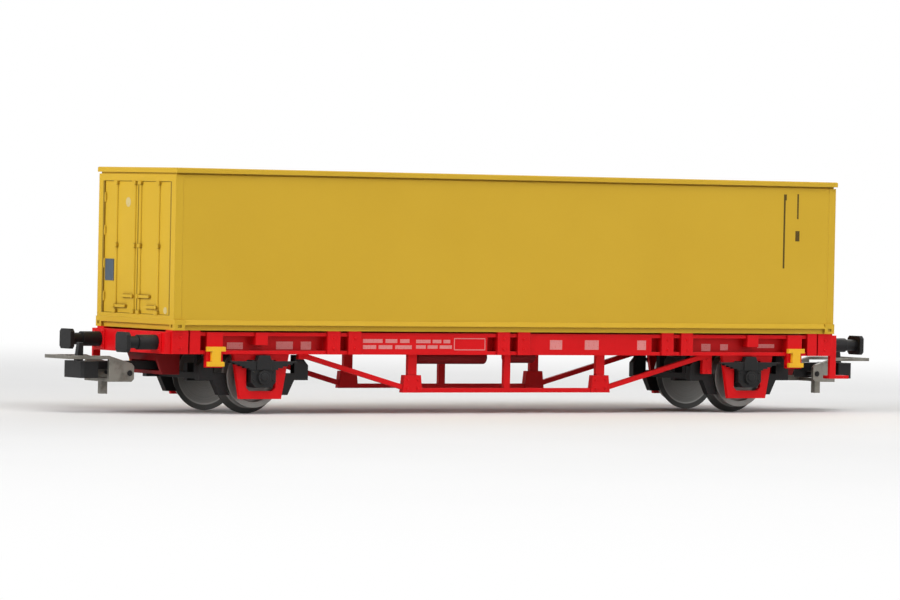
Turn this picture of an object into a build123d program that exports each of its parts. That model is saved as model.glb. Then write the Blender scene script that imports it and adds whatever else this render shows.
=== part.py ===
from build123d import *
import os
from math import cos, pi, sin
from typing import NamedTuple

os.makedirs("parts", exist_ok=True)

# A 1:87 model of a two-axle flat wagon that carries one 40-foot box container.
# Millimetres. X runs along the wagon (the container's doors face -X, the front),
# Y across it (-Y is the left side), Z up from the plane under the wheel flanges.

# Wheelsets
BACK_TO_BACK = 14.3
TREAD_D = 10.8
FLANGE_H = 1.1
FLANGE_T = 1.3
WHEEL_W = 2.8
RIM_T = 1.0
DISH = 0.8
AXLE_D = 1.6
JOURNAL_L = 2.1
JOURNAL_PLAY = 0.08
JOURNAL_END_PLAY = 0.15

# Underframe, sized from the wheels outward and from the container's length
WHEEL_SIDE_GAP = 0.45
WHEEL_TOP_GAP = 1.6
SILL_W = 2.6
SILL_H = 3.8
SILL_FLANGE_T = 0.65
SILL_WEB_T = 0.6
SILL_WEB_IN = 0.6
HEADSTOCK_T = 1.2
END_GAP = 1.25
PAD_H = 0.3
SPINE_W = 5.0
BEARER_T = 1.2
BEARER_GAP = 0.1
BRAKE_TO_POCKET = 3.6

# Container lugs and inscription panels along each sole bar
LUG_TO_END = 35.9
LUG_W = 2.6
LUG_GAP = 1.7
LUG_PROUD = 0.35
END_LUG_W = 3.2
END_LUG_GAP = 0.3
END_POST_W = 2.1
SHORT_LUG_W = 2.45
SHORT_LUG_H = 2.2
SHORT_LUG_OUT = 0.5
PANEL_GAP = 2.0
SPIGOT = 1.2
SPIGOT_H = 0.9
SPIGOT_PLAY = 0.2

# Rope hooks on their hanging plates
HOOK_TO_END = 9.7
HOOK_PLATE_W = 3.2
HOOK_PLATE_DROP = 2.3
HOOK_PLATE_T = 1.0
HOOK_T = 0.7
HOOK_W = 3.6
HOOK_H = 3.4
HOOK_RISE = 0.5
HOOK_BAR = 0.8
HOOK_STEM = 1.7

# Truss under each sole bar
TRUSS_T = 0.8
TRUSS_SET_IN = 0.1
TRUSS_DROP = 6.75
CHORD_H = 0.8
STAY_RUN = 21.7
STAY_TO_AXLE = 10.0
STAY_H = 0.9
QUEEN_W = 1.8
KING_W = 1.3
QUEEN_FOOT_W = 4.1
QUEEN_FOOT_TOP_W = 3.4
QUEEN_FOOT_H = 3.1
QUEEN_FOOT_T = 1.2
STAY_PLATE_W = 2.0
STAY_PLATE_OUT = 1.8
STAY_PLATE_DROP = 3.4

# Axle guards, axle boxes and leaf springs
GUARD_T = 0.8
GUARD_IN = 1.4
GUARD_TOP_W = 11.2
GUARD_FOOT_W = 8.3
GUARD_FOOT_DROP = 3.8
GUARD_TIE_H = 1.4
GUARD_BAND_H = 1.0
GUARD_OPEN_W = 5.9
GUARD_CORNER = 0.6
BOX_W = 5.0
BOX_BELOW = 1.8
SPRING_SEAT = 0.4
BOX_CORNER = 1.0
BOX_TO_WHEEL = 0.65
BOX_PROUD = 0.9
COVER_D = 2.4
COVER_T = 0.45
LEAF_COUNT = 5
LEAF_T = 0.3
LEAF_L = 13.4
LEAF_STEP = 1.9
LEAF_W = 1.0
SPRING_DROP = 1.2
BUCKLE_W = 2.9
BUCKLE_TOP_W = 2.2
BUCKLE_H = 1.0
BUCKLE_PROUD = 0.2

# Brake gear around each axle
SHOE_GAP = 0.4
SHOE_W = 1.4
SHOE_TOP = 0.6
SHOE_FOOT = 3.2
SHOE_FOOT_T = 1.1
LEVER_OUT = 0.2
LEVER_W = 2.8
LEVER_TOP = 3.8
LEVER_TOP_W = 1.2
LEVER_SHOULDER = 2.0
LEVER_FOOT = 0.6
BEAM_OUT = 2.6
BEAM_T = 1.0
BEAM_H = 1.1
HANGER_Y = 4.2
HANGER_W = 1.0
SADDLE_BAR_W = 1.2
SADDLE_BAR_BELOW = 1.0
SADDLE_BAR_ABOVE = 2.1
SADDLE_GAP = 0.45

# Brake cylinder and air reservoir beside the centre sill
CYLINDER_D = 2.5
CYLINDER_L = 14.2
RESERVOIR_D = 2.3
RESERVOIR_L = 5.6
CYLINDER_TO_MIDDLE = 0.8
RESERVOIR_TO_MIDDLE = 4.0
VESSEL_Y = 4.4
VESSEL_DROP = 0.6
STRAP_W = 1.4

# Buffers and end steps
BUFFER_IN = 2.95
BUFFER_L = 7.0
BUFFER_RISE = 1.95
SLEEVE_D = 2.6
SLEEVE_L = 3.9
PLUNGER_D = 2.1
HEAD_W = 4.0
HEAD_H = 3.5
HEAD_T = 0.8
HEAD_CORNER = 0.5
STEP_W = 4.4
STEP_DEPTH = 2.0
STEP_T = 0.6
STEP_DROP = 4.2
STEP_POST_W = 1.4
STEP_POST_T = 0.6

# Loop couplers, measured from the headstock's outer face
PIVOT_IN = 5.0
PIVOT_D = 1.4
PIVOT_PLAY = 0.08
POCKET_W = 10.0
POCKET_IN = 2.5
POCKET_BACK = 2.5
POCKET_WALL = 0.7
POCKET_DROP = 3.2
POCKET_SLOPE = 1.4
POCKET_COVER_T = 0.6
SHANK_W = 3.0
SHANK_H = 1.4
SHANK_GAP = 0.2
COUPLER_HEAD_OUT = 7.7
COUPLER_HEAD_L = 3.2
COUPLER_HEAD_W = 6.8
COUPLER_HEAD_DROP = 1.5
COUPLER_NOSE = 0.5
HORN_W = 1.0
HORN_L = 1.3
HORN_TIP_L = 0.8
HORN_H = 3.2
CROSS_PIN_OUT = 2.0
CROSS_PIN_DROP = 0.6
CROSS_PIN_D = 0.9
CROSS_PIN_PLAY = 0.06
BOSS_L = 2.0
BOSS_BELOW = 0.75
LOOP_OUT = 14.0
LOOP_W = 8.8
LOOP_T = 0.6
LOOP_RISE = 0.4
CHEEK_BACK = 0.85
CHEEK_FRONT = 4.1
CHEEK_BELOW = 1.5
CHEEK_ABOVE = 1.7
CHEEK_CORNER = 0.5
DROP_PIN_OUT = 2.9
DROP_PIN_W = 1.2
DROP_PIN_L = 2.2

# Container
BOX_L = 140.1
BOX_H = 28.0
BOX_OVERHANG = 1.0
WALL_T = 1.0
WALL_SET_IN = 0.35
PANEL_SET_IN = 0.03
POST_W = 1.5
FLOOR_H = 0.9
FLOOR_SET_IN = 0.5
RAIL_H = 0.9
RAIL_EDGE_H = 0.15
CASTING_L = 2.1
CASTING_W = 1.9
CASTING_H = 1.4
CASTING_SLOT_L = 0.8
CASTING_SLOT_H = 0.5
CASTING_SLOT_DEEP = 0.2
ROOF_H = 0.9
ROOF_LIP = 0.1
ROOF_EDGE = 0.15
ROOF_GROOVE = 0.3
ROOF_GROOVE_IN = 0.3
DOOR_SET_IN = 0.3
DOOR_GAP = 0.25
DOOR_HEADER = 1.2
DOOR_SILL = 0.7
LOCK_BAR_D = 0.6
LOCK_BAR_SIDES = 6
LOCK_BAR_IN = 0.98
LOCK_BAR_OUT = 7.45
KEEPER_W = 1.1
KEEPER_H = 0.6
KEEPER_T = 0.5
HANDLE_L = 4.0
HANDLE_H = 0.5
HANDLE_T = 0.5
HANDLE_LOW = 3.5
HANDLE_HIGH = 5.3
HINGE_W = 0.8
HINGE_H = 1.1
HINGE_T = 0.25
HINGE_COUNT = 4

# Heights
FLANGE_R = TREAD_D / 2 + FLANGE_H
AXLE_Z = FLANGE_R
DECK_Z = AXLE_Z + FLANGE_R + WHEEL_TOP_GAP
SILL_TOP = DECK_Z - PAD_H
SILL_BOTTOM = SILL_TOP - SILL_H
BEARER_Z = (SILL_BOTTOM + SILL_FLANGE_T + BEARER_GAP, SILL_TOP - SILL_FLANGE_T - BEARER_GAP)
CHORD_Z = (SILL_BOTTOM - TRUSS_DROP, SILL_BOTTOM - TRUSS_DROP + CHORD_H)
SPRING_TOP = SILL_BOTTOM - SPRING_DROP
BUFFER_Z = SILL_BOTTOM + BUFFER_RISE
POCKET_Z = SILL_BOTTOM - POCKET_DROP
SHANK_Z = (POCKET_Z + SHANK_GAP, POCKET_Z + SHANK_GAP + SHANK_H)
CROSS_PIN_Z = SHANK_Z[0] - CROSS_PIN_DROP
LOOP_Z = (SHANK_Z[1] + LOOP_RISE, SHANK_Z[1] + LOOP_RISE + LOOP_T)
BOX_TOP = DECK_Z + BOX_H
WALL_Z = (DECK_Z + FLOOR_H + RAIL_H, BOX_TOP - ROOF_H - ROOF_GROOVE)

# Distances from the middle, across the wagon
WHEEL_IN = BACK_TO_BACK / 2
WHEEL_OUT = WHEEL_IN + WHEEL_W
AXLE_TIP = WHEEL_OUT + JOURNAL_L
SILL_IN = WHEEL_OUT + WHEEL_SIDE_GAP
SILL_OUT = SILL_IN + SILL_W
WEB_IN = SILL_IN + SILL_WEB_IN
WEB_OUT = WEB_IN + SILL_WEB_T
LUG_FACE = SILL_OUT + LUG_PROUD
GUARD_Y = SILL_OUT - GUARD_IN
GUARD_FACE = GUARD_Y + GUARD_T
BUFFER_Y = SILL_OUT - BUFFER_IN
BOX_SIDE = SILL_OUT + BOX_OVERHANG
WALL_SIDE = BOX_SIDE - WALL_SET_IN
SPIGOT_Y = SILL_OUT - LUG_PROUD - SPIGOT / 2

# Distances from the middle, along the wagon
BOX_END = BOX_L / 2
FRAME_END = BOX_END + END_GAP
SILL_END = FRAME_END - HEADSTOCK_T
SPIGOT_X = SILL_END - END_LUG_W / 2
PIVOT_X = FRAME_END - PIVOT_IN
BEAM_X = TREAD_D / 2 + BEAM_OUT
AXLE_X = PIVOT_X - POCKET_BACK - BRAKE_TO_POCKET - BEAM_T / 2 - BEAM_X
HOOK_X = FRAME_END - HOOK_TO_END
LUG_X = FRAME_END - LUG_TO_END
STAY_X = AXLE_X - STAY_TO_AXLE
QUEEN_X = STAY_X - STAY_RUN
CROSS_PIN_X = FRAME_END + CROSS_PIN_OUT
LOOP_X = FRAME_END + LOOP_OUT


class Turn(NamedTuple):
    """Where a like piece goes: a name and a turn about the upright axis."""

    name: str
    degrees: float


class Corner(NamedTuple):
    """One corner of the wagon: a name and the signs of its X and Y."""

    name: str
    end: int
    side: int


SIDES = [Turn("left", 0), Turn("right", 180)]
ENDS = [Turn("front", 180), Turn("rear", 0)]
CORNERS = [
    Corner("front_left", -1, -1),
    Corner("front_right", -1, 1),
    Corner("rear_left", 1, -1),
    Corner("rear_right", 1, 1),
]


def around(middle, width):
    """The two limits of a width centred on a middle."""
    return (middle - width / 2, middle + width / 2)


def outward(sign, near, far):
    """The two limits of a stretch from near to far, on one side of the middle."""
    return tuple(sorted((sign * near, sign * far)))


def block(x, y, z):
    """A box between limits along X, Y and Z."""
    return Pos(sum(x) / 2, sum(y) / 2, sum(z) / 2) * Box(x[1] - x[0], y[1] - y[0], z[1] - z[0])


def round_x(diameter, x, y, z):
    """A cylinder along X between two limits."""
    return Pos(sum(x) / 2, y, z) * Rot(0, 90, 0) * Cylinder(diameter / 2, x[1] - x[0])


def round_y(diameter, x, y, z):
    """A cylinder along Y between two limits."""
    return Pos(x, sum(y) / 2, z) * Rot(90, 0, 0) * Cylinder(diameter / 2, y[1] - y[0])


def round_z(diameter, x, y, z):
    """A cylinder along Z between two limits."""
    return Pos(x, y, sum(z) / 2) * Cylinder(diameter / 2, z[1] - z[0])


def plate_x(points, x):
    """An outline of (y, z) points, thick between two limits along X."""
    wire = Polyline(*[(x[0], py, pz) for py, pz in points], close=True)
    return extrude(make_face(wire), amount=x[1] - x[0], dir=(1, 0, 0))


def plate_y(points, y):
    """An outline of (x, z) points, thick between two limits along Y."""
    wire = Polyline(*[(px, y[0], pz) for px, pz in points], close=True)
    return extrude(make_face(wire), amount=y[1] - y[0], dir=(0, 1, 0))


def plate_z(points, z):
    """An outline of (x, y) points, thick between two limits along Z."""
    wire = Polyline(*[(px, py, z[0]) for px, py in points], close=True)
    return extrude(make_face(wire), amount=z[1] - z[0])


def joined(pieces):
    """One solid from pieces that overlap or meet."""
    whole = pieces[0]
    for piece in pieces[1:]:
        whole = whole + piece
    return whole


def save(name, *solids):
    """Write the solids of one piece to its own file."""
    shape = solids[0] if len(solids) == 1 else Compound(children=list(solids))
    export_step(shape, f"parts/{name}.step")


def sole_bar():
    """The left sole bar: an I section with lugs, panels and hook plates."""
    top = SILL_TOP - SILL_FLANGE_T
    low = SILL_BOTTOM + SILL_FLANGE_T
    half = [(-SILL_IN, SILL_TOP), (-SILL_IN, top), (-WEB_IN, top),
            (-WEB_IN, low), (-SILL_IN, low), (-SILL_IN, SILL_BOTTOM)]
    other = [(-SILL_OUT, SILL_BOTTOM), (-SILL_OUT, low), (-WEB_OUT, low),
             (-WEB_OUT, top), (-SILL_OUT, top), (-SILL_OUT, SILL_TOP)]
    pieces = [plate_x(half + other, (-SILL_END, SILL_END))]
    full = (SILL_BOTTOM, DECK_Z)
    lug_step = (LUG_W + LUG_GAP) / 2
    post_x = SILL_END - END_LUG_W - END_LUG_GAP - END_POST_W / 2
    # Columns: middle along X, width, heights.
    lugs = [(pair + turn * lug_step, LUG_W, full) for pair in (-LUG_X, 0, LUG_X) for turn in (-1, 1)]
    for end in (-1, 1):
        lugs += [
            (end * SPIGOT_X, END_LUG_W, full),
            (end * post_x, END_POST_W, full),
            (end * (AXLE_X + SHORT_LUG_OUT), SHORT_LUG_W, (SILL_TOP - SHORT_LUG_H, SILL_TOP)),
            (end * HOOK_X, HOOK_PLATE_W, (SILL_BOTTOM, SILL_TOP)),
        ]
    for middle, width, height in lugs:
        pieces.append(block(around(middle, width), (-LUG_FACE, -WEB_IN), height))
    lug_edge = LUG_W + LUG_GAP / 2
    for start in (-LUG_X, 0):
        panel_x = (start + lug_edge, start + LUG_X - lug_edge - PANEL_GAP)
        pieces.append(block(panel_x, (-SILL_OUT, -WEB_OUT), (SILL_BOTTOM, SILL_TOP)))
    for end in (-1, 1):
        drop = (SILL_BOTTOM - HOOK_PLATE_DROP, SILL_BOTTOM)
        pieces.append(block(around(end * HOOK_X, HOOK_PLATE_W), (-LUG_FACE, HOOK_PLATE_T - LUG_FACE), drop))
    return joined(pieces)


def headstock():
    """The rear headstock, a plate across the ends of the sole bars."""
    return block((SILL_END, FRAME_END), (-SILL_OUT, SILL_OUT), (SILL_BOTTOM, SILL_TOP))


def cross_bearers():
    """Beams from the centre sill out to both sole bars."""
    places = [0]
    for x in (QUEEN_X, LUG_X, AXLE_X - BEAM_X, AXLE_X + BEAM_X):
        places += [-x, x]
    return [block(around(x, BEARER_T), outward(side, SPINE_W / 2, WEB_IN), BEARER_Z)
            for x in places for side in (-1, 1)]


def truss():
    """The left truss: chord, posts, stays up to the sole bar and one hanging plate."""
    near = SILL_IN + TRUSS_SET_IN
    thick = (-near - TRUSS_T, -near)
    foot_thick = around(-near - TRUSS_T / 2, QUEEN_FOOT_T)
    post_z = (CHORD_Z[0], SILL_BOTTOM)
    foot_top = CHORD_Z[0] + QUEEN_FOOT_H
    pieces = [block((-QUEEN_X, QUEEN_X), thick, CHORD_Z), block(around(0, KING_W), thick, post_z)]
    for end in (-1, 1):
        queen = end * QUEEN_X
        stay = end * STAY_X
        plate = end * (STAY_X + STAY_PLATE_OUT)
        foot_x = around(queen, QUEEN_FOOT_W)
        foot_top_x = around(queen, QUEEN_FOOT_TOP_W)
        pieces += [
            block(around(queen, QUEEN_W), thick, post_z),
            plate_y([(foot_x[0], CHORD_Z[0]), (foot_x[1], CHORD_Z[0]),
                     (foot_top_x[1], foot_top), (foot_top_x[0], foot_top)], foot_thick),
            plate_y([(queen, CHORD_Z[0]), (stay, SILL_BOTTOM - STAY_H), (plate, SILL_BOTTOM - STAY_H),
                     (plate, SILL_BOTTOM), (stay, SILL_BOTTOM), (queen, CHORD_Z[0] + STAY_H)], thick),
        ]
    plate_x = around(STAY_X + STAY_PLATE_OUT, STAY_PLATE_W)
    pieces.append(block(plate_x, thick, (SILL_BOTTOM - STAY_PLATE_DROP, SILL_BOTTOM)))
    return joined(pieces)


def axle_guard(corner):
    """The tapered window plate that guides an axle box, hung from the sole bar."""
    x = corner.end * AXLE_X
    thick = outward(corner.side, GUARD_Y, GUARD_FACE)
    foot_z = AXLE_Z - GUARD_FOOT_DROP
    top = around(x, GUARD_TOP_W)
    foot = around(x, GUARD_FOOT_W)
    plate = plate_y([(top[0], SILL_BOTTOM), (foot[0], foot_z), (foot[1], foot_z), (top[1], SILL_BOTTOM)], thick)
    window = block(around(x, GUARD_OPEN_W), thick, (foot_z + GUARD_TIE_H, SILL_BOTTOM - GUARD_BAND_H))
    return plate - chamfer(window.edges().filter_by(Axis.Y).group_by(Axis.Z)[0], GUARD_CORNER)


def leaf_pack(x, y):
    """A laminated spring, whose straight leaves shorten downward step by step."""
    right = []
    for index in range(LEAF_COUNT):
        reach = (LEAF_L - index * LEAF_STEP) / 2
        top = SPRING_TOP - index * LEAF_T
        right += [(reach, top), (reach, top - LEAF_T)]
    left = [(-reach, z) for reach, z in reversed(right)]
    return plate_y([(x + reach, z) for reach, z in right + left], y)


def axle_box(corner):
    """An axle box with its leaf spring and buckle, one moulding."""
    x = corner.end * AXLE_X
    side = corner.side
    inner = WHEEL_OUT + BOX_TO_WHEEL
    face = GUARD_FACE + BOX_PROUD
    spring_y = outward(side, GUARD_FACE, GUARD_FACE + LEAF_W)
    buckle_y = outward(side, GUARD_FACE, GUARD_FACE + LEAF_W + BUCKLE_PROUD)
    buckle = around(x, BUCKLE_W)
    buckle_top = around(x, BUCKLE_TOP_W)
    spring_low = SPRING_TOP - LEAF_COUNT * LEAF_T
    housing = block(around(x, BOX_W), outward(side, inner, face), (AXLE_Z - BOX_BELOW, spring_low + SPRING_SEAT))
    housing = chamfer(housing.edges().filter_by(Axis.Y).group_by(Axis.Z)[0], BOX_CORNER)
    pieces = [
        leaf_pack(x, spring_y),
        housing,
        round_y(COVER_D, x, outward(side, face, face + COVER_T), AXLE_Z),
        plate_y([(buckle[0], spring_low), (buckle[1], spring_low), (buckle[1], SPRING_TOP),
                 (buckle_top[1], SPRING_TOP + BUCKLE_H), (buckle_top[0], SPRING_TOP + BUCKLE_H),
                 (buckle[0], SPRING_TOP)], buckle_y),
    ]
    bore_y = outward(side, inner, AXLE_TIP + JOURNAL_END_PLAY)
    return joined(pieces) - round_y(AXLE_D + 2 * JOURNAL_PLAY, x, bore_y, AXLE_Z)


def wheel(x, side):
    """A flanged wheel with a sunk web, bored for its axle."""
    tread_r = TREAD_D / 2
    # Half section of (radius, distance from the middle of the wagon).
    section = [
        (AXLE_D / 2, WHEEL_IN), (FLANGE_R, WHEEL_IN), (tread_r, WHEEL_IN + FLANGE_T),
        (tread_r, WHEEL_OUT), (tread_r - RIM_T, WHEEL_OUT), (tread_r - RIM_T, WHEEL_OUT - DISH),
        (AXLE_D / 2, WHEEL_OUT - DISH),
    ]
    wire = Polyline(*[(radius, side * y, 0) for radius, y in section], close=True)
    return Pos(x, 0, AXLE_Z) * revolve(make_face(wire), axis=Axis.Y)


def axle(x):
    """A plain axle through both wheels and into both axle boxes."""
    return round_y(AXLE_D, x, (-AXLE_TIP, AXLE_TIP), AXLE_Z)


def brake_gear(x):
    """Two braked beams beside one axle, joined by a bar saddled over the axle."""
    face = TREAD_D / 2 + SHOE_GAP
    lever_in = BEAM_X + LEVER_OUT
    lever_out = lever_in + LEVER_W
    shoe_y = (WHEEL_OUT - SHOE_W, WHEEL_OUT)
    hollow = round_y(2 * face, x, (-WHEEL_OUT, WHEEL_OUT), AXLE_Z)
    lever = [(lever_in, LEVER_TOP), (lever_in + LEVER_TOP_W, LEVER_TOP), (lever_out, LEVER_SHOULDER),
             (lever_out, -LEVER_FOOT), (lever_in, -LEVER_FOOT)]
    shoe = [(0, SHOE_TOP), (lever_in, SHOE_TOP), (lever_in, -LEVER_FOOT),
            (face + SHOE_FOOT_T, -SHOE_FOOT), (0, -SHOE_FOOT)]
    pieces = []
    for turn in (-1, 1):
        beam_x = around(x + turn * BEAM_X, BEAM_T)
        pieces.append(block(beam_x, (-WHEEL_OUT, WHEEL_OUT), around(AXLE_Z, BEAM_H)))
        for side in (-1, 1):
            for outline in (lever, shoe):
                points = [(x + turn * out, AXLE_Z + rise) for out, rise in outline]
                pieces.append(plate_y(points, outward(side, *shoe_y)) - hollow)
            pieces.append(block(beam_x, around(side * HANGER_Y, HANGER_W), (AXLE_Z, BEARER_Z[0])))
    bar_y = around(0, SADDLE_BAR_W)
    bar_z = (AXLE_Z - SADDLE_BAR_BELOW, AXLE_Z + SADDLE_BAR_ABOVE)
    saddle_d = AXLE_D + 2 * SADDLE_GAP
    saddle = round_y(saddle_d, x, bar_y, AXLE_Z) + block(around(x, saddle_d), bar_y, (bar_z[0], AXLE_Z))
    pieces.append(block((x - BEAM_X, x + BEAM_X), bar_y, bar_z) - saddle)
    return joined(pieces)


def vessel(x, diameter):
    """A round tank, strapped to the side of the centre sill."""
    strap_z = (SILL_BOTTOM, SILL_BOTTOM + VESSEL_DROP)
    pieces = [round_x(diameter, x, -VESSEL_Y, strap_z[1] - diameter / 2)]
    for middle in (x[0] + STRAP_W, x[1] - STRAP_W):
        pieces.append(block(around(middle, STRAP_W), (-VESSEL_Y, -SPINE_W / 2), strap_z))
    return joined(pieces)


def buffer(corner):
    """A rigid buffer: sleeve, plunger and oblong head."""
    y = corner.side * BUFFER_Y
    mouth = FRAME_END + SLEEVE_L
    face = FRAME_END + BUFFER_L
    head = block((face - HEAD_T, face), around(y, HEAD_W), around(BUFFER_Z, HEAD_H))
    whole = joined([
        round_x(SLEEVE_D, (FRAME_END, mouth), y, BUFFER_Z),
        round_x(PLUNGER_D, (mouth, face - HEAD_T), y, BUFFER_Z),
        chamfer(head.edges().filter_by(Axis.X), HEAD_CORNER),
    ])
    return whole if corner.end > 0 else mirror(whole, about=Plane.YZ)


def rope_hook(corner):
    """A rope hook: two bars joined by a stem, on the face of its plate."""
    x = corner.end * HOOK_X
    thick = outward(corner.side, LUG_FACE, LUG_FACE + HOOK_T)
    top = SILL_BOTTOM + HOOK_RISE + HOOK_BAR
    foot = top - HOOK_H
    return joined([
        block(around(x, HOOK_W), thick, (top - HOOK_BAR, top)),
        block(around(x, HOOK_STEM), thick, (foot, top)),
        block(around(x, HOOK_PLATE_W), thick, (foot, foot + HOOK_BAR)),
    ])


def end_step():
    """The step at the rear left corner: a post under the headstock and a tread."""
    post_x = (FRAME_END - STEP_POST_W, FRAME_END)
    foot_z = SILL_BOTTOM - STEP_DROP
    return joined([
        block(post_x, (-SILL_OUT, STEP_POST_T - SILL_OUT), (foot_z, SILL_BOTTOM)),
        block((post_x[0], post_x[0] + STEP_W), (-SILL_OUT, STEP_DEPTH - SILL_OUT), (foot_z, foot_z + STEP_T)),
    ])


def pocket_block(z, wall):
    """The rear coupler pocket between two heights, less a wall, with its sloped end."""
    back = PIVOT_X - POCKET_BACK + wall
    mouth = FRAME_END - POCKET_IN
    ends = [mouth - POCKET_SLOPE * (SILL_BOTTOM - height) / POCKET_DROP for height in z]
    return plate_y([(back, z[0]), (ends[0], z[0]), (ends[1], z[1]), (back, z[1])],
                   around(0, POCKET_W - 2 * wall))


def coupler_pocket():
    """The rear coupler pocket: open at its end and below, with its pivot pin."""
    room_z = (POCKET_Z, SHANK_Z[1] + SHANK_GAP)
    pin = round_z(PIVOT_D, PIVOT_X, 0, room_z)
    return pocket_block((POCKET_Z, SILL_BOTTOM), 0) - pocket_block(room_z, POCKET_WALL) + pin


def coupler():
    """The rear coupler: an eye on the pocket's pin, a shank, a head and its horn."""
    back = FRAME_END + COUPLER_HEAD_OUT
    nose_x = back + COUPLER_HEAD_L
    cheek_x = nose_x - COUPLER_NOSE
    half = COUPLER_HEAD_W / 2
    head_z = SHANK_Z[0] - COUPLER_HEAD_DROP
    tip = half - COUPLER_NOSE
    head = [(back, -half), (cheek_x, -half), (nose_x, -tip), (nose_x, tip), (cheek_x, half), (back, half)]
    horn_top = SHANK_Z[1] + HORN_H
    horn = [(cheek_x - HORN_L, SHANK_Z[1]), (cheek_x, SHANK_Z[1]),
            (cheek_x - HORN_L + HORN_TIP_L, horn_top), (cheek_x - HORN_L, horn_top)]
    whole = joined([
        round_z(SHANK_W, PIVOT_X, 0, SHANK_Z),
        block((PIVOT_X, back), around(0, SHANK_W), SHANK_Z),
        plate_z(head, (head_z, SHANK_Z[1])),
        plate_y(horn, around(0, HORN_W)),
        block(around(CROSS_PIN_X, BOSS_L), around(0, SHANK_W), (CROSS_PIN_Z - BOSS_BELOW, SHANK_Z[1])),
        round_y(CROSS_PIN_D, CROSS_PIN_X, around(0, LOOP_W), CROSS_PIN_Z),
    ])
    return whole - round_z(PIVOT_D + 2 * PIVOT_PLAY, PIVOT_X, 0, SHANK_Z)


def coupler_loop():
    """The rear loop: two cheeks on the coupler's cross pin, a front bar and a drop pin."""
    low = CROSS_PIN_Z - CHEEK_BELOW
    high = CROSS_PIN_Z + CHEEK_ABOVE
    back = CROSS_PIN_X - CHEEK_BACK
    front = CROSS_PIN_X + CHEEK_FRONT
    across = around(0, LOOP_W)
    drop_x = CROSS_PIN_X + DROP_PIN_OUT
    outline = [(back + CHEEK_CORNER, low), (front, low), (front, LOOP_Z[0]), (LOOP_X, LOOP_Z[0]),
               (LOOP_X, LOOP_Z[1]), (front, LOOP_Z[1]), (back + CHEEK_CORNER, high),
               (back, high - CHEEK_CORNER), (back, low + CHEEK_CORNER)]
    pieces = [plate_y(outline, outward(side, LOOP_W / 2 - LOOP_T, LOOP_W / 2)) for side in (-1, 1)]
    pieces += [
        block((LOOP_X - LOOP_T, LOOP_X), across, LOOP_Z),
        block(around(drop_x, 2 * DROP_PIN_W), across, (low, low + LOOP_T)),
        block(around(drop_x, DROP_PIN_W), around(0, DROP_PIN_W), (low - DROP_PIN_L, low)),
    ]
    bore = round_y(CROSS_PIN_D + 2 * CROSS_PIN_PLAY, CROSS_PIN_X, across, CROSS_PIN_Z)
    return joined(pieces) - bore


def casting_slots(end, z):
    """Cutters for the slots in the two lower corner castings of one end."""
    cutters = []
    for side in (-1, 1):
        middle_x = end * (BOX_END - CASTING_L / 2)
        middle_y = side * (BOX_SIDE - CASTING_W / 2)
        cutters += [
            block(around(middle_x, CASTING_SLOT_L), outward(side, BOX_SIDE - CASTING_SLOT_DEEP, BOX_SIDE),
                  around(z, CASTING_SLOT_H)),
            block(outward(end, BOX_END - CASTING_SLOT_DEEP, BOX_END), around(middle_y, CASTING_SLOT_L),
                  around(z, CASTING_SLOT_H)),
        ]
    return cutters


def container_base():
    """The container's floor, set in under its bottom rail, with corner castings."""
    rail_z = (DECK_Z + FLOOR_H, WALL_Z[0])
    floor_z = (DECK_Z, rail_z[0])
    pieces = [
        block(around(0, 2 * (BOX_END - FLOOR_SET_IN)), around(0, 2 * (BOX_SIDE - FLOOR_SET_IN)), floor_z),
        block((-BOX_END, BOX_END), (-BOX_SIDE, BOX_SIDE), (rail_z[0], rail_z[0] + RAIL_EDGE_H)),
        plate_x([(-BOX_SIDE, rail_z[0] + RAIL_EDGE_H), (BOX_SIDE, rail_z[0] + RAIL_EDGE_H),
                 (WALL_SIDE, rail_z[1]), (-WALL_SIDE, rail_z[1])], (-BOX_END, BOX_END)),
    ]
    cutters = []
    pocket = SPIGOT + 2 * SPIGOT_PLAY
    for corner in CORNERS:
        pieces.append(block(outward(corner.end, BOX_END - CASTING_L, BOX_END),
                            outward(corner.side, BOX_SIDE - CASTING_W, BOX_SIDE), (DECK_Z, rail_z[1])))
        cutters.append(block(around(corner.end * SPIGOT_X, pocket), around(corner.side * SPIGOT_Y, pocket),
                             (DECK_Z, DECK_Z + SPIGOT_H + SPIGOT_PLAY)))
    for end in (-1, 1):
        cutters += casting_slots(end, DECK_Z + CASTING_H / 2)
    whole = joined(pieces)
    for cutter in cutters:
        whole = whole - cutter
    return whole


def container_side(side):
    """A smooth long wall between the end posts, set in a little from them."""
    face = WALL_SIDE - PANEL_SET_IN
    return block(around(0, BOX_L - 2 * POST_W), outward(side, face - WALL_T, face), WALL_Z)


def end_frame(end, panels):
    """The two corner posts of one end with what joins them."""
    pieces = list(panels)
    for side in (-1, 1):
        pieces.append(block(outward(end, BOX_END - POST_W, BOX_END),
                            outward(side, WALL_SIDE - POST_W, WALL_SIDE), WALL_Z))
    return joined(pieces)


def container_end_wall():
    """The plain rear wall with its corner posts."""
    face = BOX_END - PANEL_SET_IN
    return end_frame(1, [block((face - WALL_T, face), around(0, 2 * (WALL_SIDE - POST_W)), WALL_Z)])


def container_door_frame():
    """The front frame of posts, header and sill that holds the two door leaves."""
    depth = (-BOX_END, POST_W - BOX_END)
    width = around(0, 2 * (WALL_SIDE - POST_W))
    return end_frame(-1, [
        block(depth, width, (WALL_Z[1] - DOOR_HEADER, WALL_Z[1])),
        block(depth, width, (WALL_Z[0], WALL_Z[0] + DOOR_SILL)),
    ])


def lock_bar(face, y, z):
    """Half of a many-sided upright bar, lying on the face of a door."""
    radius = LOCK_BAR_D / 2
    turns = [pi * step / LOCK_BAR_SIDES for step in range(LOCK_BAR_SIDES + 1)]
    return plate_z([(face - radius * sin(turn), y + radius * cos(turn)) for turn in turns], z)


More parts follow.
